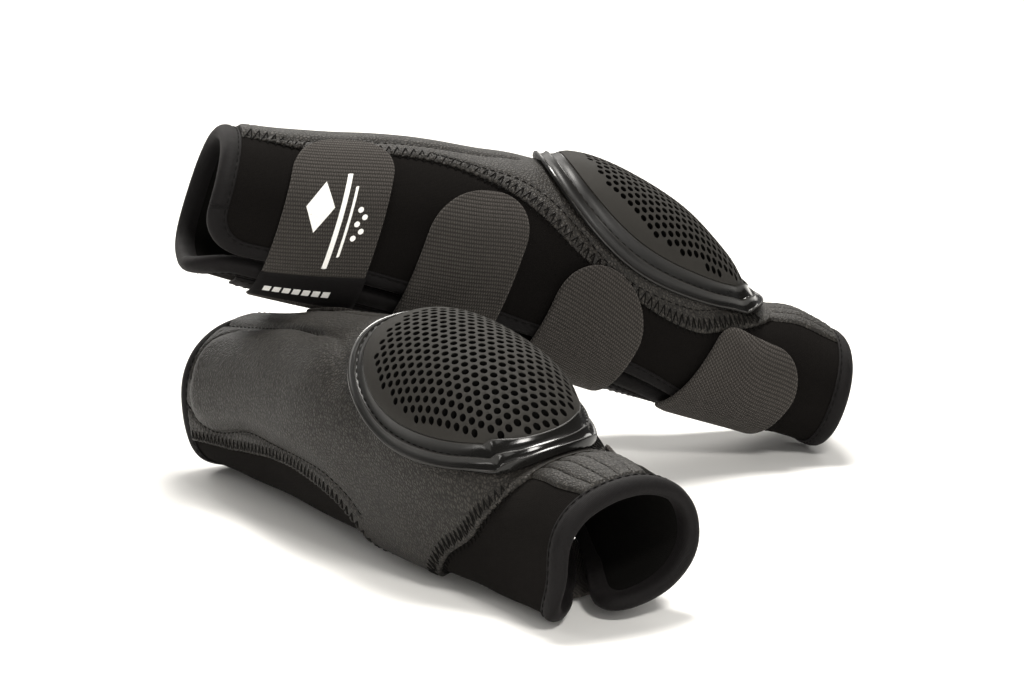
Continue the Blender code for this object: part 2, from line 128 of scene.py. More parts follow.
# Binding tape, its profile as (distance in from the sheet's edge, offset)
BIND_WIDTH, BIND_STEP, BIND_SEAM = 8.5, 2.2, 7.2
BIND_PROFILE = ((8.5, 0.2), (8.45, 0.8), (7.9, 1.05), (7.2, 0.8), (6.6, 0.95), (5.2, 1.5),
                (3.6, 1.55), (2.0, 1.15), (0.8, 0.3), (0.1, -0.8), (-0.2, -2.2), (0.1, -3.7),
                (0.8, -4.8), (2.0, -5.5), (3.6, -5.9), (5.4, -5.85), (7.0, -5.6), (8.4, -5.5),
                (8.5, -4.7), (5.0, -4.5), (1.6, -4.2), (1.2, -2.2), (1.6, -0.4), (5.0, -0.2))

# Thread: straight stitches, how they arch and the spacing they are drawn at, and the zigzag
STITCH, STITCH_GAP, STITCH_RADIUS, STITCH_STEP = 3.0, 0.9, 0.24, 0.25
STITCH_ARCH = (-0.25, 0.12, 0.2, 0.12, -0.25)
ZIGZAG_PITCH, ZIGZAG_OUT, ZIGZAG_IN, ZIGZAG_RADIUS = 3.8, -1.4, 5.2, 0.36

# Each boot: mirrored or not, position in mm, and turns about Z, Y and X in degrees
BOOTS = {
    "left": (True, (-34.6, 59.5, 3.5), (-56.8, -0.7, 8.0)),
    "right": (False, (-5.9, 195.3, 49.9), (10.9, 18.1, -0.5)),
}


# ---------------- the boot's surface

def along(stations, x):
    """Smooth curve through the stations, at x."""
    at, value = np.array(stations, float).T
    slope = np.empty_like(value)
    slope[1:-1] = (value[2:] - value[:-2]) / (at[2:] - at[:-2])
    slope[0] = (value[1] - value[0]) / (at[1] - at[0])
    slope[-1] = (value[-1] - value[-2]) / (at[-1] - at[-2])
    x = np.clip(np.asarray(x, float), at[0], at[-1])
    i = np.clip(np.searchsorted(at, x, side="right") - 1, 0, len(at) - 2)
    span = at[i + 1] - at[i]
    t = (x - at[i]) / span
    return ((2 * t**3 - 3 * t**2 + 1) * value[i] + (t**3 - 2 * t**2 + t) * span * slope[i]
            + (3 * t**2 - 2 * t**3) * value[i + 1] + (t**3 - t**2) * span * slope[i + 1])


def surface(x, a, d):
    """Points of the boot at x, section angle a and offset d."""
    x, a, d = np.broadcast_arrays(*(np.asarray(v, float) for v in (x, a, d)))
    half, middle = along(HALF_WIDTH, x), along(BACK, x) / 2
    wrapped = (a + 180) % 360 - 180
    heel = along(HEEL, x) * np.exp(-(((wrapped - HEEL_ANGLE) / HEEL_SPREAD) ** 2))
    s, c = np.sin(np.radians(a)), np.cos(np.radians(a))
    y = (half + d) * np.sign(s) * np.abs(s) ** (2 / POWER) + HEEL_OUT * heel
    z = middle + (middle + d) * np.sign(c) * np.abs(c) ** (2 / POWER) - HEEL_DOWN * heel
    return np.stack([x, y, z], -1)


def table(x, a):
    """Distances round the sections at x, from the back line to each angle of a."""
    steps = np.linalg.norm(np.diff(surface(x[:, None], a, 0.0), axis=1), axis=2)
    girth = np.concatenate([np.zeros((len(x), 1)), np.cumsum(steps, axis=1)], axis=1)
    return girth - girth[:, [int(np.argmin(np.abs(a)))]]


# Tables that turn section angles into distances round the section, and back
A_LIMIT, A_STEP = 270.0, 0.5
S_LIMIT, S_STEP = 320.0, 0.5
X_STEP = 5
X_CELLS = int(LENGTH / X_STEP)
GIRTH_A = np.arange(-A_LIMIT, A_LIMIT + A_STEP, A_STEP)
GIRTH = table(np.linspace(0, LENGTH, X_CELLS + 1), GIRTH_A)
S_GRID = np.arange(-S_LIMIT, S_LIMIT + S_STEP, S_STEP)
ANGLES = np.stack([np.interp(S_GRID, row, GIRTH_A) for row in GIRTH])


def look_up(values, x, place):
    """Bilinear value from a table with a row every X_STEP of x."""
    f = np.clip(np.asarray(x, float), 0, LENGTH) / X_STEP
    i = np.clip(f.astype(int), 0, X_CELLS - 1)
    u = f - i
    j = np.clip(np.asarray(place).astype(int), 0, values.shape[1] - 2)
    v = place - j
    return ((values[i, j] * (1 - v) + values[i, j + 1] * v) * (1 - u)
            + (values[i + 1, j] * (1 - v) + values[i + 1, j + 1] * v) * u)


def angle(x, s):
    """Section angle at distance s."""
    return look_up(ANGLES, x, (np.asarray(s, float) + S_LIMIT) / S_STEP)


def arc(x, a):
    """Distance round the section at angle a."""
    return look_up(GIRTH, x, (np.asarray(a, float) + A_LIMIT) / A_STEP)


def flat(x, s, d):
    """Points at x and distance s round the section."""
    x, s = np.broadcast_arrays(np.asarray(x, float), np.asarray(s, float))
    return surface(x, angle(x, s), d)


def closing_arc(x):
    """s of the wrap's closing edge, which the straps reach over."""
    return arc(x, along(CLOSING, x))


def flap_arc(x):
    """s of the wrap's flap edge, the opening short of the closing edge."""
    return arc(x, along(CLOSING, x) + 360) - along(OPENING, x)


def smooth(t):
    t = np.clip(t, 0, 1)
    return t * t * (3 - 2 * t)


def distances(path):
    """Distance of each point of a path from its start, along it."""
    return np.concatenate([[0], np.cumsum(np.linalg.norm(np.diff(path, axis=0), axis=1))])


def spaced(path, step):
    """The path resampled at an even step along it."""
    path = np.asarray(path, float)
    run = distances(path)
    count = max(int(round(run[-1] / step)), 2)
    at = np.linspace(0, run[-1], count + 1)
    return np.stack([np.interp(at, run, path[:, k]) for k in range(path.shape[1])], 1)


def curve(stations):
    """Points (x, s) a millimetre apart along a line given as (x, angle) stations."""
    stations = np.asarray(stations, float)
    chord = distances(stations)
    t = np.linspace(0, chord[-1], 12 * len(stations))
    x, a = (along(list(zip(chord, stations[:, k])), t) for k in (0, 1))
    return spaced(np.stack([x, arc(x, a)], 1), 1.0)


def away(x, s, path):
    """Distance from each point to a path in the (x, s) plane."""
    near = np.full(np.shape(x), 1e9)
    for px, ps in path:
        near = np.minimum(near, (x - px) ** 2 + (s - ps) ** 2)
    return np.sqrt(near)


def wander(x, y, size, seed):
    """Smooth unevenness between about -1 and 1 with features of the given size."""
    rng = np.random.default_rng(seed)
    total = np.zeros(np.broadcast(x, y).shape)
    for _ in range(7):
        turn, phase = rng.uniform(0, 2 * math.pi, 2)
        wave = rng.uniform(0.6, 1.5) * 2 * math.pi / size
        total += np.sin(wave * (np.cos(turn) * x + np.sin(turn) * y) + phase)
    return total / 4


# ---------------- putting pieces in place

def strap_frame(number):
    """Hinge point of a strap in (x, s), and its two directions there."""
    centre, past, lean = STRAPS[number][:3]
    start = np.array([centre, float(closing_arc(centre)) + past])
    sin, cos = math.sin(math.radians(lean)), math.cos(math.radians(lean))
    return start, np.array([sin, cos]), np.array([cos, -sin])


def unshifted(boot, points):
    """Points of a boot's frame in metres in the CAD's frame, before the pair was set down."""
    mirror, position, turns = BOOTS[boot]
    points = np.asarray(points, float).reshape(-1, 3) * (1, -1 if mirror else 1, 1)
    yaw, pitch, roll = (Matrix.Rotation(math.radians(t), 3, axis) for t, axis in zip(turns, "ZYX"))
    turn = np.array(yaw @ pitch @ roll)
    return ((points - (LENGTH / 2, 0, 0)) @ turn.T + position) / 1000


def set_down():
    """How far the CAD moved the pair to set it on the floor, read from one strap's hinge."""
    start, _, _ = strap_frame(0)
    hinge = flat(*start, STRAP_TOP + HINGE_OUT)
    joint = next(j for j in frame["joints"] if j["name"] == "right_strap_1_fold")
    return np.array(joint["pos_m"]) - unshifted("right", hinge)[0]


SHIFT = set_down()


def to_row(boot, points):
    """Points of a boot's frame in the shared frame."""
    return unshifted(boot, points) + SHIFT


def place(name, data):
    """A new object in the scene, holding the data."""
    obj = bpy.data.objects.new(name, data)
    bpy.context.scene.collection.objects.link(obj)
    return obj


def make(boot, name, points, faces, material, coords, body="boot", slot=None, stands_for=(),
         crease=40):
    """A mesh piece from points in the boot's frame; coords are what its material reads."""
    mesh = bpy.data.meshes.new(f"{boot}_{name}")
    mesh.from_pydata(to_row(boot, points).tolist(), [], [list(map(int, f)) for f in faces])
    layer = mesh.attributes.new("flat", "FLOAT_VECTOR", "POINT")
    layer.data.foreach_set("vector", np.asarray(coords, np.float32).reshape(-1))
    edit = bmesh.new()
    edit.from_mesh(mesh)
    bmesh.ops.recalc_face_normals(edit, faces=edit.faces)
    edit.to_mesh(mesh)
    edit.free()
    mesh.shade_smooth()
    mesh.set_sharp_from_angle(angle=math.radians(crease))
    mesh.materials.append(FINISHES[material])
    obj = place(f"{boot}_{name}", mesh)
    if body:
        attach(obj, f"{boot}_{body}")
    if stands_for:
        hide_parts(*(f"{boot}_{node}" for node in stands_for))
    return obj


def second_finish(obj, material, on):
    """Gives the faces that on is true for another material."""
    obj.data.materials.append(FINISHES[material])
    obj.data.polygons.foreach_set("material_index", np.asarray(on).astype(np.int32))


def slab(top, bottom):
    """Points and faces of a closed sheet between two grids of points."""
    rows, columns = top.shape[:2]
    count = rows * columns
    grid = np.arange(count).reshape(rows, columns)
    corners = grid[:-1, :-1], grid[:-1, 1:], grid[1:, 1:], grid[1:, :-1]
    quads = np.stack([corner.ravel() for corner in corners], 1)
    ring = np.concatenate([grid[:, 0], grid[-1, 1:], grid[-2::-1, -1], grid[0, -2:0:-1]])
    after = np.roll(ring, -1)
    sides = np.stack([ring, ring + count, after + count, after], 1)
    faces = np.concatenate([quads[:, ::-1], quads + count, sides])
    return np.concatenate([top.reshape(-1, 3), bottom.reshape(-1, 3)]), faces


def sheet(boot, name, x, s, top, low, material, read=None, **settings):
    """A closed sheet between two offsets over a grid (x, s); read is what its material reads."""
    u, v = read or (x, s)
    coords = np.stack([u, v, 0 * u], -1)
    points, faces = slab(flat(x, s, top), flat(x, s, low))
    return make(boot, name, points, faces, material, np.concatenate([coords, coords]), **settings)


def spread(x, low, high, t):
    """Grid (x, s) with a row for each x, at shares t of the way from low to high."""
    return np.repeat(x[:, None], len(t), 1), low[:, None] + (high - low)[:, None] * t


def tube(rings, closed_path):
    """Points and faces of a swept tube: rings is (stations, corners, 3)."""
    stations, corners = rings.shape[:2]
    faces = []
    for i in range(stations if closed_path else stations - 1):
        k = (i + 1) % stations
        for j in range(corners):
            m = (j + 1) % corners
            faces.append((i * corners + j, i * corners + m, k * corners + m, k * corners + j))
    if not closed_path:
        last = (stations - 1) * corners
        faces += [tuple(range(corners)), tuple(range(last, last + corners))]
    return rings.reshape(-1, 3), faces


def thread(path, radius, corners=6):
    """Rings of a thread along points in the boot's frame, narrower at its two ends."""
    run = np.gradient(path, axis=0)
    run /= np.linalg.norm(run, axis=1)[:, None] + 1e-12
    centre = np.stack([path[:, 0], 0 * path[:, 0], along(BACK, path[:, 0]) / 2], 1)
    out = path - centre
    out -= (out * run).sum(1)[:, None] * run
    out /= np.linalg.norm(out, axis=1)[:, None] + 1e-12
    side = np.cross(run, out)
    size = np.full(len(path), radius)
    size[[0, -1]] *= 0.35
    t = np.arange(corners) * 2 * math.pi / corners
    return (path[:, None] + size[:, None, None]
            * (np.cos(t)[:, None] * out[:, None] + np.sin(t)[:, None] * side[:, None]))


def joined(parts):
    """Several (points, faces) as one."""
    points, faces, count = [], [], 0
    for p, f in parts:
        points.append(p)
        faces += [tuple(int(v) + count for v in face) for face in f]
        count += len(p)
    return np.concatenate(points), faces


# ---------------- materials

FINISHES = {}


class Finish:
    """A procedural material: nodes are added by short calls."""

    def __init__(self, name, roughness, **sockets):
        material = FINISHES[name] = bpy.data.materials.new(name)
        material.use_nodes = True
        self.tree = material.node_tree
        self.shader = self.tree.nodes["Principled BSDF"]
        self.shader.inputs["Roughness"].default_value = roughness
        for key, value in sockets.items():
            self.shader.inputs[key.replace("_", " ")].default_value = value
        self.coords = self.add("ShaderNodeAttribute", attribute_name="flat").outputs["Vector"]

    def add(self, kind, inputs=(), **settings):
        node = self.tree.nodes.new(kind)
        for key, value in settings.items():
            setattr(node, key, value)
        for key, value in dict(inputs).items():
            if isinstance(value, bpy.types.NodeSocket):
                self.tree.links.new(value, node.inputs[key])
            else:
                node.inputs[key].default_value = value
        return node

    def math(self, operation, first, second=0.0, clamp=False):
        node = self.add("ShaderNodeMath", {0: first, 1: second}, operation=operation)
        node.use_clamp = clamp
        return node.outputs[0]

    def plus(self, first, second):
        return self.math("ADD", first, second)

    def times(self, first, second):
        return self.math("MULTIPLY", first, second)

    def noise(self, size, detail=3.0, rough=0.55, stretch=None):
        """Noise with features of the given size in mm."""
        where = self.coords
        if stretch:
            where = self.add("ShaderNodeVectorMath", {0: where, 1: stretch},
                             operation="MULTIPLY").outputs[0]
        return self.add("ShaderNodeTexNoise", {"Vector": where, "Scale": 1 / size,
                                               "Detail": detail, "Roughness": rough}).outputs["Fac"]

    def cells(self, size):
        """Distance to the nearest border between cells of the given size in mm."""
        return self.add("ShaderNodeTexVoronoi", {"Vector": self.coords, "Scale": 1 / size},
                        feature="DISTANCE_TO_EDGE").outputs["Distance"]

    def axis(self, letter):
        return self.add("ShaderNodeSeparateXYZ", {0: self.coords}).outputs[letter]

    def wave(self, value, period):
        """0 to 1 to 0 over each period."""
        cosine = self.math("COSINE", self.times(value, 2 * math.pi / period))
        return self.plus(self.times(cosine, -0.5), 0.5)

    def span(self, value, low, high, to_low=0.0, to_high=1.0):
        return self.add("ShaderNodeMapRange", {"Value": value, "From Min": low, "From Max": high,
                                               "To Min": to_low, "To Max": to_high}).outputs[0]

    def colour(self, share, low, high):
        """Mix of two colours, each given as three numbers or as a socket."""
        factor, first, second, result = 0, 6, 7, 2
        ends = {at: value if isinstance(value, bpy.types.NodeSocket) else (*value, 1)
                for at, value in ((first, low), (second, high))}
        return self.add("ShaderNodeMix", {factor: share, **ends}, data_type="RGBA").outputs[result]

    def paint(self, colour):
        self.tree.links.new(colour, self.shader.inputs["Base Color"])

    def rough(self, value):
        self.tree.links.new(value, self.shader.inputs["Roughness"])

    def bump(self, *layers):
        """Layers of (height, depth in mm), each on top of the last."""
        normal = None
        for height, depth in layers:
            inputs = {"Height": height, "Distance": depth / 1000, "Strength": 1.0}
            if normal:
                inputs["Normal"] = normal
            normal = self.add("ShaderNodeBump", inputs).outputs[0]
        self.tree.links.new(normal, self.shader.inputs["Normal"])


def finishes():
    m = Finish("grain_leather", 0.46, Specular_IOR_Level=0.22)
    grain = m.span(m.cells(1.55), 0.0, 0.34)
    fine = m.noise(0.5, 4.0, 0.65)
    patches = m.noise(26.0, 3.0)
    height = m.plus(m.times(grain, 0.8), m.times(fine, 0.35))
    base = m.colour(patches, (0.027, 0.0243, 0.0212), (0.039, 0.0352, 0.0306))
    m.paint(m.colour(m.span(grain, 0.0, 0.8), (0.0060, 0.0053, 0.0045), base))
    dull = m.plus(m.times(grain, -0.10), m.times(patches, 0.16))
    m.rough(m.span(dull, -0.10, 0.16, 0.46, 0.62))
    m.bump((m.noise(7.0, 2.0), 0.25), (height, 0.30))

    m = Finish("loop_neoprene", 0.95, Specular_IOR_Level=0.04, Sheen_Weight=0.02,
               Sheen_Roughness=0.6, Sheen_Tint=(0.5, 0.45, 0.40, 1))
    knit = m.times(m.wave(m.axis("X"), 0.9), m.wave(m.axis("Y"), 0.75))
    fuzz = m.noise(0.42, 5.0, 0.75)
    lint = m.span(m.noise(1.3, 6.0, 0.8), 0.70, 0.78)
    base = m.colour(m.noise(34.0, 4.0), (0.0020, 0.0018, 0.0017), (0.0040, 0.0035, 0.0033))
    m.paint(m.colour(lint, m.colour(fuzz, base, (0.0066, 0.0058, 0.0054)), (0.026, 0.024, 0.022)))
    m.bump((m.noise(5.0, 3.0), 0.25), (m.plus(m.times(knit, 0.5), fuzz), 0.22))

    m = Finish("ribbed_webbing", 0.86, Specular_IOR_Level=0.22, Sheen_Weight=0.12,
               Sheen_Roughness=0.5, Sheen_Tint=(0.8, 0.74, 0.68, 1))
    rib, yarn = 1.7, 1.1
    row = m.math("FLOOR", m.math("DIVIDE", m.axis("Y"), rib))
    shifted = m.times(m.math("MODULO", m.math("ABSOLUTE", row), 2.0), math.pi)
    ribs = m.math("POWER", m.wave(m.axis("Y"), rib), 0.7)
    turns = m.times(m.axis("X"), 2 * math.pi / yarn)
    warp = m.math("COSINE", m.plus(turns, shifted))
    weave = m.times(ribs, m.plus(m.times(warp, 0.40), 0.60))
    uneven = m.noise(3.0, 4.0, 0.6, (1.0, 2.2, 1.0))
    fuzz = m.noise(0.35, 4.0, 0.7)
    tone = m.plus(m.times(weave, 0.62), m.times(fuzz, 0.42))
    base = m.colour(uneven, (0.043, 0.0384, 0.0342), (0.064, 0.0574, 0.0514))
    m.paint(m.colour(m.span(tone, 0.10, 0.78), (0.009, 0.0078, 0.007), base))
    m.bump((weave, 0.45), (fuzz, 0.18))

    m = Finish("edge_tape", 0.7, Specular_IOR_Level=0.13, Sheen_Weight=0.03,
               Sheen_Roughness=0.4, Sheen_Tint=(0.75, 0.68, 0.68, 1))
    ribs = m.wave(m.axis("X"), 0.62)
    fine = m.noise(0.6, 4.0, 0.65)
    tone = m.math("ADD", m.times(ribs, 0.35), m.times(fine, 0.6), True)
    m.paint(m.colour(tone, (0.0026, 0.0023, 0.0024), (0.0075, 0.0065, 0.0067)))
    m.bump((m.noise(6.0, 2.0), 0.35), (m.plus(m.times(ribs, 0.6), fine), 0.12))

    m = Finish("dome_rubber", 0.6, Specular_IOR_Level=0.09)
    fine = m.noise(0.55, 5.0, 0.7)
    worn = m.noise(14.0, 4.0, 0.6)
    m.paint(m.colour(worn, (0.022, 0.0207, 0.0186), (0.029, 0.0272, 0.0246)))
    m.rough(m.span(m.plus(fine, worn), 0.7, 1.3, 0.56, 0.72))
    m.bump((m.noise(9.0, 2.0), 0.2), (fine, 0.05))

    # Near black for the holes' deep walls and floors: painted shade inside the holes
    m = Finish("hole_shade_paint", 0.95, Specular_IOR_Level=0.04)
    m.paint(m.colour(m.noise(2.0), (0.0012, 0.0012, 0.0011), (0.003, 0.0028, 0.0026)))

    m = Finish("rim_gloss", 0.12, Specular_IOR_Level=0.34)
    scuff = m.noise(11.0, 6.0, 0.7)
    m.paint(m.colour(scuff, (0.0042, 0.0040, 0.0037), (0.008, 0.0075, 0.0069)))
    satin = m.span(m.axis("X"), 236.0, 256.0, 0.30, 0.0)
    m.rough(m.plus(m.span(scuff, 0.35, 0.75, 0.11, 0.24), satin))
    m.bump((m.noise(16.0, 2.0), 0.12))

    # Rim crests: a lighter copy of the rim's black, a painted highlight along the crests over their
    # own satin finish
    m = Finish("rim_crest_highlight", 0.46, Specular_IOR_Level=0.35)
    m.paint(m.colour(m.noise(8.0, 4.0), (0.010, 0.0093, 0.0084), (0.018, 0.0167, 0.015)))
    m.rough(m.span(m.axis("X"), 168.0, 190.0, 0.2, 0.48))
    m.bump((m.noise(1.5, 3.0), 0.05))

    m = Finish("thread", 0.8, Specular_IOR_Level=0.1)
    m.paint(m.colour(m.noise(1.2, 3.0), (0.0018, 0.0016, 0.0014), (0.005, 0.0045, 0.004)))

    m = Finish("hook_pile", 0.85)
    bristle = m.times(m.wave(m.axis("X"), 1.3), m.wave(m.axis("Y"), 1.3))
    m.paint(m.colour(bristle, (0.008, 0.008, 0.008), (0.045, 0.043, 0.042)))
    m.bump((bristle, 0.5), (m.noise(0.5), 0.1))

    m = Finish("print", 0.62)
    worn = m.span(m.noise(0.9, 5.0, 0.75), 0.26, 0.46)
    m.paint(m.colour(worn, (0.5, 0.49, 0.47), (0.86, 0.85, 0.82)))
    m.bump((m.noise(0.6, 3.0), 0.06))

    m = Finish("lining", 0.95, Specular_IOR_Level=0.04)
    m.paint(m.colour(m.noise(1.0, 4.0), (0.0028, 0.0026, 0.0024), (0.0055, 0.0052, 0.0048)))
    m.bump((m.noise(0.6, 4.0), 0.15))


# ---------------- soft goods

def wrap(boot):
    """The neoprene sheet that closes round the leg."""
    rows, columns, inset = 150, 190, 2.0
    x = np.linspace(inset, LENGTH - inset, rows)
    u = np.minimum(x - inset, LENGTH - inset - x)
    radius = CORNER_RADIUS - inset
    pull = np.where(u < radius, radius - np.sqrt(np.maximum(radius**2 - (radius - u) ** 2, 0)), 0)
    low, high = closing_arc(x) + inset + pull, flap_arc(x) - inset - pull
    x, s = spread(x, low, high, np.linspace(0, 1, columns))
    from_side = np.minimum(s - low[:, None], high[:, None] - s) + inset
    from_edge = np.minimum(np.minimum(x, LENGTH - x), from_side)
    uneven, thinning, roll = 0.22, 2.0, 0.4
    soft = uneven * wander(x, s, 60, 3) * smooth((from_edge - 8) / 12)
    pinched = -NEOPRENE + soft + thinning * (1 - smooth((from_edge - 2) / 12))
    rolled = soft - roll * (1 - smooth(from_edge / 9))
    obj = sheet(boot, "wrap", x, s, rolled, pinched, "loop_neoprene", slot="neoprene",
                stands_for=("neoprene_shell",))
    outer_faces = (rows - 1) * (columns - 1)
    second_finish(obj, "lining", np.arange(len(obj.data.polygons)) >= outer_faces)


def edge_path():
    """Closed line (x, s) round the sheet's edge, its corners rounded."""
    radius = CORNER_RADIUS
    turn = [(radius * (1 - math.cos(t)), radius * (1 - math.sin(t)))
            for t in np.radians(np.linspace(0, 90, 14))]
    middle = np.linspace(radius, LENGTH - radius, 130)[1:-1]

    def long_side(line, way):
        far = [(LENGTH - u, line(LENGTH - u) + way * v) for u, v in reversed(turn)]
        return [(u, line(u) + way * v) for u, v in turn] + [(x, line(x)) for x in middle] + far

    closing, flap = long_side(closing_arc, 1), long_side(flap_arc, -1)[::-1]
    pastern = [(LENGTH, s) for s in np.linspace(closing[-1][1], flap[0][1], 60)[1:-1]]
    cannon = [(0.0, s) for s in np.linspace(flap[-1][1], closing[0][1], 60)[1:]]
    path = spaced(closing + pastern + flap + cannon, BIND_STEP)[:-1]
    for _ in range(2):
        path = (np.roll(path, 1, 0) + 2 * path + np.roll(path, -1, 0)) / 4
    return path


def square(run):
    """Unit directions in the (x, s) plane, square to the given ones."""
    run = run / np.linalg.norm(run, axis=1)[:, None]
    return np.stack([-run[:, 1], run[:, 0]], 1)


def inward(path):
    """Unit directions square to a closed path, into the sheet."""
    into = square(np.roll(path, -1, 0) - np.roll(path, 1, 0))
    centre = np.array([LENGTH / 2, path[:, 1].mean()])
    return into if ((centre - path) * into).sum() > 0 else -into


def binding(boot):
    """One tape folded over the sheet's whole edge."""
    path = edge_path()
    into = inward(path)
    t, d = np.array(BIND_PROFILE).T
    x = path[:, :1] + into[:, :1] * t
    s = path[:, 1:] + into[:, 1:] * t
    run = np.arange(len(path))[:, None] * BIND_STEP + 0 * t
    swell = 0.12 * wander(run, 0 * run, 22, 5) * (np.abs(t - 3) < 4)
    points, faces = tube(flat(x, s, d + swell), True)
    coords = np.stack([run, 0 * run + t * 0.8 + d, 0 * run], -1)
    make(boot, "binding_tape", points, faces, "edge_tape", slot="binding", coords=coords,
         stands_for=("cannon_binding", "pastern_binding", "closing_edge_binding",
                     "flap_edge_binding"))
    seam = path + into * BIND_SEAM
    sew(boot, "binding_stitches", [(np.append(seam, seam[:1], 0), level(0.9))])


def level(height):
    """A height for stitches that is the same everywhere."""
    return lambda x, s: height + 0 * x


def stitches(path, height):
    """Straight stitches along a line (x, s), lying on the given height."""
    path = spaced(path, STITCH_STEP)
    step, parts = int(round((STITCH + STITCH_GAP) / STITCH_STEP)), []
    for i in range(0, len(path) - step, step):
        bit = path[i:i + int(STITCH / STITCH_STEP) + 1]
        x, s = bit[np.linspace(0, len(bit) - 1, len(STITCH_ARCH)).astype(int)].T
        parts.append(tube(thread(flat(x, s, height(x, s) + STITCH_ARCH), STITCH_RADIUS), False))
    return parts


def sew(boot, name, lines, extra=()):
    """One piece of thread: stitches along each (line, height), and any other threads."""
    parts = list(extra)
    for path, height in lines:
        parts += stitches(path, height)
    points, faces = joined(parts)
    make(boot, name, points, faces, "thread", coords=points)


def leather_edges(x):
    return arc(x, along(LEATHER_LOW, x)), arc(x, along(LEATHER_HIGH, x))


PAD_TOP_LINE, PAD_BOTTOM_LINE = curve(PAD_TOP), curve(PAD_BOTTOM)
LOW_SEAM = curve(((10, 87), (20, 95), *PAD_BOTTOM[4:]))
TOP_LINES = (curve(((10, -14), (28, -16), (61, -11), (100, -8), (138, -7))),
             curve(((10, 13), (32, 14), (60, 17), (85, 19), (112, 23))))
SIDE_LINE = curve(((96, -19), (122, -27), (136, -33), (151, -43), (168, -57.5), (185, -70.5),
                   (201, -76), (219, -76), (234, -71), (245, -60), (255, -47), (263, -35)))


def pad_height(x, s):
    """Height of the padded panel over the rest of the leather."""
    near = np.minimum(away(x, s, PAD_TOP_LINE), away(x, s, PAD_BOTTOM_LINE))
    low = curve_at(PAD_TOP_LINE, x, np.minimum)
    high = curve_at(PAD_BOTTOM_LINE, x, np.maximum)
    within = (x > PAD_TOP[0][0]) & (s > low) & (s < high)
    swell = smooth(near / PAD_SHOULDER) ** PAD_FULLNESS * within
    middle = 42
    low_side = smooth((angle(x, s) - middle) / middle)
    end, run_out = 167 + 15 * low_side, 42 + 33 * low_side
    return PAD_HEIGHT * swell * smooth((end - x) / run_out)


def curve_at(line, x, pick):
    """The line's s at each x, the outermost where the line turns back."""
    grid = np.linspace(0, LENGTH, 641)
    best = np.full(len(grid), np.nan)
    for px, ps in line:
        k = int(round(px * 2))
        for j in (k, k + 1):
            if 0 <= j < len(grid):
                best[j] = ps if np.isnan(best[j]) else pick(best[j], ps)
    known = ~np.isnan(best)
    return np.interp(x, grid[known], best[known])


def leather_top(x, s):
    """Offset of the leather's outer face."""
    a = angle(x, s)
    heel = np.exp(-(((a - HEEL_ANGLE) / HEEL_SPREAD) ** 2))
    top = LEATHER_LIFT + LEATHER + 0.9 * heel + pad_height(x, s)
    fade = smooth((150 - x) / 45)
    for line, depth, wide in ((TOP_LINES[0], 1.2, 1.7), (TOP_LINES[1], 1.2 * fade, 1.7),
                              (PAD_TOP_LINE, 1.0 * fade, 1.3), (LOW_SEAM, 1.0, 1.2),
                              (SIDE_LINE, 0.6, 1.0)):
        top = top - depth * np.exp(-((away(x, s, line) / wide) ** 2))
    first, second = (np.interp(x, line[:, 0], line[:, 1]) for line in TOP_LINES)
    channel = smooth((s - first) / 6) * smooth((second - s) / 6) * smooth((150 - x) / 50)
    top = top + 1.1 * channel + 0.12 * wander(x, s, 34, 8)
    near = np.exp(-((outside_rim(x, a) / 10.5) ** 2)) * (x < 195)
    around = np.degrees(np.arctan2(s, 205 - x))
    folds = 0.12 * np.sin(np.radians(around) * 17 + 0.6 * np.sin(around / 9))
    valley = 1.25
    return top + near * (folds - valley) * smooth((200 - x) / 25)


def outside_rim(x, a):
    """Rough distance in mm outside the rim's outer edge."""
    centre, half, widest, _ = RIM_OUTER
    reach = np.hypot((x - centre) / half, a / widest)
    return np.maximum(reach - 1, 0) * RIM_REACH


def leather(boot):
    """The cover over the back, puckered along its zigzag seams, with the pad under it."""
    x = np.linspace(*LEATHER_X, 330)
    low, high = leather_edges(x)
    x, s = spread(x, low, high, np.linspace(0, 1, 210))
    top = leather_top(x, s)
    edge = np.minimum(np.minimum(s - low[:, None], high[:, None] - s), x - LEATHER_X[0])
    even_pucker, loose_pucker, reach, thinning = 0.38, 0.18, 5.5, 0.75
    pucker = even_pucker * np.sin(2 * math.pi * x / ZIGZAG_PITCH)
    pucker = pucker + loose_pucker * wander(x, s, 2.8, 31)
    top = top + pucker * np.exp(-((edge / reach) ** 2)) * (x > LEATHER_X[0] + 4)
    top = top - thinning * (1 - smooth(edge / 1.1 + 0.05))
    bottom = np.minimum(top - 0.5, SHEET_LOW)
    obj = sheet(boot, "leather", x, s, top, bottom, "grain_leather", slot="leather",
                stands_for=("leather_cover", "tendon_pad"))


def zigzag(path, into, height):
    """Zigzag thread over an edge; into points from the edge into the leather."""
    run = distances(path)
    points = []
    for k in range(int(run[-1] / (ZIGZAG_PITCH / 2))):
        at = k * ZIGZAG_PITCH / 2
        x, s, into_x, into_s = (np.interp(at, run, v) for v in (*path.T, *into.T))
        reach = ZIGZAG_IN if k % 2 else ZIGZAG_OUT
        points.append((x + into_x * reach, s + into_s * reach))
    points = np.array(points)
    fine = [a + (b - a) * u for a, b in zip(points, points[1:]) for u in (0.0, 0.12, 0.5, 0.88)]
    x, s = np.array(fine).T
    return tube(thread(flat(x, s, height(x, s)), ZIGZAG_RADIUS, 5), False)


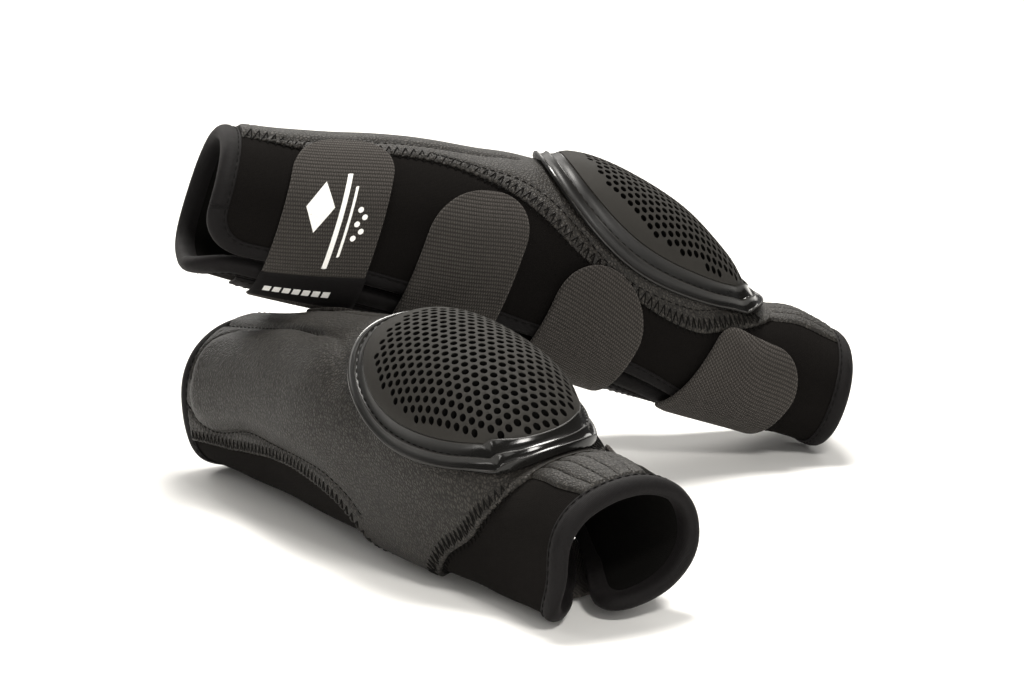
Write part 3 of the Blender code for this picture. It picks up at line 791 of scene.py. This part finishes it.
def seams(boot):
    """Zigzag along the leather's free edges, and the straight seams on it."""
    x = np.linspace(LEATHER_X[0] + 1, LEATHER_X[1] - 3, 500)
    low, high = leather_edges(x)

    def lie(x, s):
        """Height of the zigzag: on the leather, on its edge, or on the neoprene beside it."""
        low, high = leather_edges(x)
        depth = np.minimum(s - low, high - s)
        on, on_edge = leather_top(x, s) + 0.12, 1.3
        return np.where(depth > 0.5, on, np.where(depth > -0.3, on_edge, SHEET_LOW))

    extra = []
    for edge, sign in ((low, 1), (high, -1)):
        path = spaced(np.stack([x, edge], 1), 0.5)
        extra.append(zigzag(path, square(np.gradient(path, axis=0)) * sign, lie))

    lines = [(line, lambda x, s: leather_top(x, s) + 0.1)
             for line in (*TOP_LINES, LOW_SEAM, SIDE_LINE)]
    sew(boot, "leather_stitches", lines, extra)


def gusset_edges(x):
    return arc(x, along(GUSSET_LOW, x)), arc(x, along(GUSSET_HIGH, x))


def gusset(boot):
    """Stretch panel at the pastern end, its ribs running along the boot."""
    x = np.linspace(*GUSSET_X, 110)
    low, high = gusset_edges(x)
    t = np.linspace(0, 1, 16 * GUSSET_RIBS + 1)
    x, s = spread(x, low, high, t)
    rib = np.abs(np.sin(math.pi * (t * GUSSET_RIBS))) ** 0.5
    base, rib_height = 0.95, 0.75
    pucker = 0.07 * np.sin(x * 1.6 + 2.2 * np.sin(s * 0.45)) * rib
    top = base + rib_height * rib + pucker + 0.10 * wander(x, s, 16, 12)
    edge = np.minimum(np.minimum(s - low[:, None], high[:, None] - s), GUSSET_X[1] - x)
    top = top * (0.45 + 0.55 * smooth(edge / 1.5 + 0.1))
    obj = sheet(boot, "gusset", x, s, top, 0.15, "grain_leather", slot="leather",
                stands_for=("stretch_gusset",))
    x = np.linspace(GUSSET_X[0] + 4, GUSSET_X[1] - 1, 40)
    low, high = gusset_edges(x)
    sew(boot, "gusset_stitches", [(np.stack([x, low + (high - low) * k / GUSSET_RIBS], 1), level(0.75))
                                  for k in range(1, GUSSET_RIBS)])


# ---------------- dome

def outline(t, count):
    """Edge of the dome (x, a) for t from 0, the rim's outer edge, to 1, its inner edge."""
    centre, half, widest, end = (o + (i - o) * t for o, i in zip(RIM_OUTER, RIM_INNER))
    corner = math.acos((end - centre) / half)
    on_bar = 24
    sweep = np.linspace(corner, 2 * math.pi - corner, count - on_bar)
    x, a = centre + half * np.cos(sweep), widest * np.sin(sweep)
    side = np.linspace(a[-1], a[0], on_bar + 2)[1:-1]
    return np.append(x, flat_end(side, a[0], end)), np.append(a, side)


def flat_end(a, corner, end):
    """x of the dome's pastern side, which bows out a little between its corners."""
    return end + BAR_BOW * np.clip(1 - (a / corner) ** 2, 0, 1)


def rim(boot):
    """Moulded two-step rim with a thicker bar across its pastern side."""
    rings, coords = [], []
    end = RIM_OUTER[3]
    for t, d in RIM_PROFILE:
        x, a = outline(t, 200)
        bar = smooth((x - (end - 10.5 * t) + 6.0) / 4.5) * (d > RIM_FOOT)
        raised = BAR_RISE + BAR_CORNERS * np.clip(np.abs(a) / BAR_HALF, 0, 1) ** 2
        rings.append(surface(x, a, d + raised * bar))
        coords.append(np.stack([x, arc(x, a), 0 * x + d], -1))
    points, faces = tube(np.stack(rings, 1), True)
    obj = make(boot, "rim", points, faces, "rim_gloss", slot="rim", stands_for=("dome_rim",),
               coords=np.stack(coords, 1), crease=28)
    # The lip's faces take the lighter finish, the painted highlight on the crests
    second_finish(obj, "rim_crest_highlight", np.isin(np.arange(len(faces)) % len(RIM_PROFILE), RIM_LIP))
    t, d = RIM_SEAM
    x, a = outline(t, 900)
    path = np.stack([x, arc(x, a)], 1)[x < 258]
    sew(boot, "rim_stitches", [(path, level(d))])


def crown(x, a):
    """Offset of the dome's outer face."""
    centre, half, widest, end = RIM_INNER
    share = ((x - centre) / half) ** 2 + (a / widest) ** 2
    corner = widest * math.sqrt(1 - ((end - centre) / half) ** 2)
    near_end = np.clip((flat_end(a, corner, end) + 1.5 - x) / 9, 0, 1)
    rise = np.sqrt(np.clip(1.02 - share, 0, 1)) * (0.55 + 0.45 * np.sqrt(near_end))
    return CROWN_BASE + CROWN_RISE * rise


def hole_centres():
    """Staggered rows of holes, evenly spaced over the crown, as (x, s)."""
    centre, half, widest, last = HOLE_FIELD
    found, column = [], 0
    a = np.linspace(-60, 60, 481)
    x = last
    while x > centre - half:
        run = distances(surface(x, a, crown(x, a)))
        run -= run[len(a) // 2]
        q = (np.arange(-15, 16) + 0.5 * (column % 2) + 0.25) * HOLE_PITCH
        for at in np.interp(q, run, a):
            if ((x - centre) / half) ** 2 + (at / widest) ** 2 < 1:
                found.append((x, float(arc(x, at))))
        x -= HOLE_STEP
        column += 1
    return found


def perforated():
    """Triangles of the dome's face in the (x, s) plane, left open at the holes."""
    x, a = outline(1.0, 400)
    edge = spaced(np.stack([x, arc(x, a)], 1), 1.6)
    plane = [tuple(p) for p in edge]
    wires = ring_edges(0, len(edge))
    spots, radii = np.array(hole_centres()), (HOLE_RADIUS, HOLE_RADIUS * HOLE_SQUEEZE)
    turn = np.arange(HOLE_SIDES) * 2 * math.pi / HOLE_SIDES
    for x, s in spots:
        wires += ring_edges(len(plane), HOLE_SIDES)
        plane += [(x + radii[0] * math.cos(t), s + radii[1] * math.sin(t)) for t in turn]
    centre, half, widest, _ = RIM_INNER
    first, step = 158, 2.4
    for x in np.arange(first, 262, step):
        for s in np.arange(-46, 46.1, step):
            inner = (x, s + (step / 2 if round((x - first) / step) % 2 else 0))
            within = ((x - centre) / half) ** 2 + (float(angle(*inner)) / widest) ** 2 <= 0.94
            if within and np.hypot(*(spots - inner).T).min() > HOLE_RADIUS + 0.9:
                plane.append(inner)
    plane, _, faces, *_ = delaunay_2d_cdt([Vector(p) for p in plane], wires, [], 0, 1e-5)
    plane = np.array([tuple(p) for p in plane])
    faces = np.array([tuple(f) for f in faces if len(f) == 3])
    middle = plane[faces].mean(1)
    off = (middle[:, None] - spots[None]) / radii
    solid = np.sqrt((off**2).sum(2)).min(1) > 0.955
    return plane, faces[solid & inside_polygon(middle, edge)].tolist()


def ring_edges(first, count):
    return [(first + i, first + (i + 1) % count) for i in range(count)]


def cap(boot):
    """Perforated dome: one closed body with blind holes, whose deep walls and floors are painted near
    black as painted shade.
    """
    plane, faces = perforated()
    x, s = plane.T
    a = angle(x, s)
    points = list(surface(x, a, crown(x, a)))
    coords = list(np.stack([x, s, 0 * x], 1))
    painted_shade = [False] * len(faces)
    for border in border_loops(faces):
        ring = np.array(border)
        outer = len(ring) > 3 * HOLE_SIDES
        centre = plane[ring].mean(0)
        steps = ((1.0, 0),) if outer else ((0.95, -0.3), (0.9, -HOLE_DEPTH))
        for scale, drop in steps:
            x, s = (centre + (plane[border] - centre) * scale).T
            a = angle(x, s)
            d = CAP_FOOT + 0 * a if outer else crown(x, a) + drop
            new = len(points) + np.arange(len(ring))
            points += list(surface(x, a, d))
            coords += list(np.stack([x, s, d], 1))
            wall = np.stack([ring, np.roll(ring, -1), np.roll(new, -1), new], 1)
            faces += wall.tolist()
            # The deeper wall of each hole takes the painted shade
            painted_shade += [drop == -HOLE_DEPTH] * len(wall)
            ring = new
        faces.append(ring.tolist())
        # Each hole's floor takes the painted shade too
        painted_shade.append(not outer)
    obj = make(boot, "dome", points, faces, "dome_rubber", slot="dome",
               stands_for=("dome_cap", "dome_foam"), coords=coords, crease=50)
    second_finish(obj, "hole_shade_paint", painted_shade)


def inside_polygon(points, polygon):
    x, y = points.T
    inside = np.zeros(len(points), bool)
    for (ax, ay), (bx, by) in zip(polygon, np.roll(polygon, -1, 0)):
        crosses = (ay > y) != (by > y)
        with np.errstate(divide="ignore", invalid="ignore"):
            at = ax + (y - ay) * (bx - ax) / (by - ay)
        inside ^= crosses & (x < at)
    return inside


def border_loops(faces):
    """Closed loops of vertices along edges that only one face has."""
    used = {pair for f in faces for pair in zip(f, f[1:] + f[:1])}
    follow = {a: b for a, b in used if (b, a) not in used}
    loops = []
    while follow:
        start, at = follow.popitem()
        loop = [start]
        while at != start:
            loop.append(at)
            at = follow.pop(at)
        loops.append(loop)
    return sorted(loops, key=min)


# ---------------- straps

def half_width(number, v):
    """Half the strap's width at distance v beyond its fold."""
    _, _, _, length, _, width, tip = STRAPS[number]
    u = np.clip((v - (length - tip)) / tip, 0, 0.998)
    return width / 2 - tip + tip * np.sqrt(1 - u**2)


def on_strap(number, u, v):
    """(x, s) of points u across a strap and v along it from its fold."""
    start, run, across = strap_frame(number)
    return start[0] + v * run[0] + u * across[0], start[1] + v * run[1] + u * across[1]


def strap_lift(number, u, v):
    """How far a strap's unevenness lifts what lies on it."""
    return 0.25 * wander(u, v, 45, 20 + number)


def straps(boot):
    """The four straps and the hook patch under each."""
    t = np.concatenate([[-1, -0.985, -0.96], np.linspace(-0.93, 0.93, 27), [0.96, 0.985, 1]])
    for number, (_, _, _, length, root, width, tip) in enumerate(STRAPS):
        name = f"strap_{number + 1}"
        v = np.concatenate([np.linspace(-root, length - tip, 60),
                            length - tip * (1 - np.sin(np.linspace(0, math.pi / 2, 22)[1:]))])
        half = half_width(number, v)[:, None]
        u, v = t * half, np.repeat(v[:, None], len(t), 1)
        inset = np.minimum(half - np.abs(u), length - v)
        round_off = 0.55 * (1 - smooth(inset / 1.0))
        lift = strap_lift(number, u, v) * smooth(inset / 6)
        obj = sheet(boot, name + "_web", *on_strap(number, u, v), STRAP_TOP - round_off + lift,
                    STRAP_OFFSET + 0.5 * round_off + lift, "ribbed_webbing", read=(u, v), body=None,
                    slot="webbing", stands_for=(name, f"strap_root_{number + 1}"))
        fold(obj, boot, number)

        u = np.linspace(-1, 1, 15) * (width / 2 - HOOK_MARGIN)
        v, u = np.meshgrid(np.linspace(*HOOK_SPANS[number], 30), u, indexing="ij")
        sheet(boot, f"hook_{number + 1}", *on_strap(number, u, v), HOOK_TOP, HOOK_LOW, "hook_pile",
              read=(u, v), body=name, slot="hook", stands_for=(f"hook_patch_{number + 1}",))


def tab(boot):
    """Black tab sewn over the first strap where it leaves the flap, printed with plain bars."""
    v, u = np.meshgrid(np.linspace(*TAB, 26), np.linspace(-TAB_HALF, TAB_HALF, 40), indexing="ij")
    inset = np.minimum(TAB_HALF - np.abs(u), np.minimum(v - TAB[0], TAB[1] - v))
    top = TAB_TOP - 0.35 * (1 - smooth(inset / 0.9)) + strap_lift(0, u, v)
    obj = sheet(boot, "strap_1_tab", *on_strap(0, u, v), top, STRAP_TOP - 0.25, "edge_tape",
                read=(u, v), body=None)
    fold(obj, boot, 0)
    decal(boot, "strap_1_tab_print", [mark(-17.5 + 4.4 * k, 5.6, 3.4, 3.2, 0) for k in range(7)],
          TAB_TOP)


def fold(obj, boot, number):
    """Bakes the piece's placement into its points; the ends of the stretch where the strap folds are
    found but not used, and nothing bends.
    """
    start, run, _ = strap_frame(number)
    first, last = (to_row(boot, flat(*(start + run * v), FOLD_OFFSET))[0] for v in FOLD_SPAN)
    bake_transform(obj)


def decal(boot, name, shapes, on):
    """Thin print on the first strap, from closed outlines in (u, v) on it."""
    parts, coords = [], []
    for shape in shapes:
        shape = spaced(np.append(shape, shape[:1], 0), 0.8)[:-1]
        made, _, faces, *_ = delaunay_2d_cdt([Vector(p) for p in shape], ring_edges(0, len(shape)),
                                             [], 1, 1e-5)
        uv = np.array([tuple(p) for p in made])
        u, v = uv.T
        x, s = on_strap(0, u, v)
        lift = strap_lift(0, u, v)
        faces = [tuple(int(k) for k in f) for f in faces]
        under = [tuple(k + len(uv) for k in f)[::-1] for f in faces]
        border = border_loops(faces)[0]
        sides = [(a, b, b + len(uv), a + len(uv)) for a, b in zip(border, border[1:] + border[:1])]
        both = np.concatenate([flat(x, s, on + lift + 0.14), flat(x, s, on + lift - 0.25)])
        parts.append((both, faces + under + sides))
        coords += [np.column_stack([uv, 0 * u])] * 2
    points, faces = joined(parts)
    make(boot, name, points, faces, "print", body="strap_1", coords=np.concatenate(coords))


def mark(u, v, length, width, corners=4):
    """Outline of a diamond or disc with that many corners, or of a plain bar for none."""
    if corners:
        t = 2 * math.pi * np.arange(corners) / corners
        return np.stack([u + width / 2 * np.sin(t), v + length / 2 * np.cos(t)], 1)
    u, v = u - width / 2, v - length / 2
    return np.array([(u, v), (u + width, v), (u + width, v + length), (u, v + length)])


def prints(boot):
    """Plain diamond, bars and dots on the first strap, in place of any mark."""
    shapes = [mark(-7.0, 46, 22, 13), mark(3.2, 40, 42, 2.2, 0), mark(7.4, 40, 31, 1.2, 0)]
    shapes += [mark(11.4 + 2.6 * (k % 2), 33 + 3.1 * k, 2.6, 2.6, 12) for k in range(5)]
    decal(boot, "strap_1_print", shapes, STRAP_TOP)


def band_edge(x):
    """The side of the flap's band that lies next to the binding."""
    return flap_arc(x) - BIND_WIDTH - 1


def band(boot):
    """Band sewn along the flap, which the straps start from."""
    x = np.linspace(*BAND_X, 150)
    edge = band_edge(x)[:, None]
    t = np.linspace(0, 1, 14)
    s = edge - BAND_WIDTH * t
    x = np.repeat(x[:, None], len(t), 1)
    inset = np.minimum(t, 1 - t)[None, :] * BAND_WIDTH
    top = BAND_TOP - 0.5 * (1 - smooth(inset / 0.9))
    sheet(boot, "flap_band", x, s, top, BAND_LOW, "edge_tape", read=(s - edge, x), slot="webbing",
          stands_for=("strap_anchor_band",))
    x = np.linspace(BAND_X[0] + 2, BAND_X[1] - 2, 200)
    lines = [(np.stack([x, band_edge(x) - off], 1), level(1.6))
             for off in (BAND_SEAM, BAND_WIDTH - BAND_SEAM)]
    sew(boot, "flap_band_stitches", lines)


# ---------------- stage

def area(name, energy, size, position, target):
    light = bpy.data.lights.new(name, "AREA")
    light.energy, light.shape = energy, "RECTANGLE"
    light.size, light.size_y = size
    light.color = (1, 0.975, 0.93)
    obj = place(name, light)
    obj.location = position
    obj.rotation_euler = (Vector(target) - Vector(position)).to_track_quat("-Z", "Y").to_euler()


def stage():
    scene = bpy.context.scene
    scene.view_settings.view_transform = "Standard"
    scene.view_settings.look = "None"
    half, below = 6, 0.0003
    mesh = bpy.data.meshes.new("floor")
    mesh.from_pydata([(-half, -half, 0), (half, -half, 0), (half, half, 0), (-half, half, 0)],
                     [], [(0, 1, 2, 3)])
    white = bpy.data.materials.new("floor")
    white.use_nodes = True
    shader = white.node_tree.nodes["Principled BSDF"]
    shader.inputs["Base Color"].default_value = (0.88, 0.875, 0.86, 1)
    shader.inputs["Roughness"].default_value = 0.7
    mesh.materials.append(white)
    floor = place("floor", mesh)
    floor.location.z = -below
    world = bpy.data.worlds.new("studio")
    world.use_nodes = True
    sky = world.node_tree.nodes["Background"].inputs
    sky["Color"].default_value = (1, 1, 1, 1)
    sky["Strength"].default_value = 0.12
    scene.world = world
    area("key", 33, (0.5, 0.4), (0.08, 0.5, 1.55), (0, 0, 0.05))
    area("back_floor", 80, (4.0, 1.6), (0, 3.2, 1.7), (0, 2.6, 0))
    area("bounce", 5, (1.2, 0.14), (-0.35, -1.1, 0.1), (0, 0, 0.05))
    area("overhead", 3, (1.8, 1.2), (-0.1, 0.2, 1.7), (0, 0, 0))
    area("front_fill", 7, (1.2, 0.7), (0.3, -1.6, 0.6), (0, 0, 0.05))
    area("side_strip", 2.6, (0.07, 0.9), (-1.1, 0.25, 0.8), (-0.05, -0.05, 0.08))
    area("back_left", 7, (0.6, 0.4), (-0.9, 1.3, 0.75), (-0.05, 0, 0.08))
    area("glint", 7, (0.24, 0.24), (0.42, -0.7, 0.9), (0, -0.05, 0.08))


def camera():
    elevation, distance, lens = 0.2319, 2.0988, 171.27
    target = Vector((0, 0, 0.1020)) + Vector(SHIFT)
    data = bpy.data.cameras.new("camera")
    data.lens, data.sensor_width = lens, 36.0
    data.clip_start, data.clip_end = 0.1, 50
    obj = place("camera", data)
    back = Vector((0, -math.cos(elevation), math.sin(elevation)))
    obj.location = target + back * distance
    obj.rotation_euler = (-back).to_track_quat("-Z", "Y").to_euler()
    bpy.context.scene.camera = obj


camera()
stage()
finishes()
for side in BOOTS:
    wrap(side)
    binding(side)
    leather(side)
    seams(side)
    gusset(side)
    rim(side)
    cap(side)
    band(side)
    straps(side)
    tab(side)
    prints(side)
